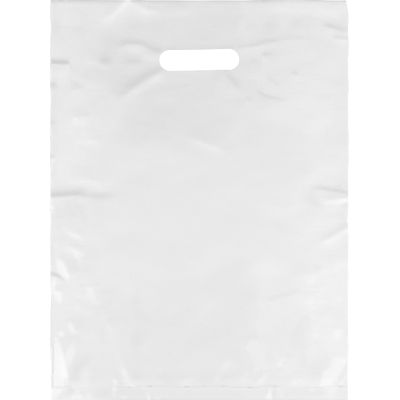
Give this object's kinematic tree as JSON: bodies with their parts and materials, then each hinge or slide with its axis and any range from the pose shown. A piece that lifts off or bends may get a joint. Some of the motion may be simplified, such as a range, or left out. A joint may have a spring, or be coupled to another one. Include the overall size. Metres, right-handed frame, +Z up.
{
  "type": "plastic carrier bag",
  "caption": "Flat white film carrier bag with side folds, a welded bottom, an open mouth and a die-cut hand slot, lying on its back.",
  "frame": {"origin": "under the middle of the bag, on the surface that its back wall lies on", "axes": "+Y from the welded bottom to the mouth, +Z up out of the front wall, +X to the right of someone who faces the front wall"},
  "size_m": [0.3, 0.402, 0.0072],
  "materials": {
    "white_film": "soft gloss white polyethylene film"
  },
  "bodies": {
    "root": {"carrier_bag": "white_film"}
  },
  "joints": []
}
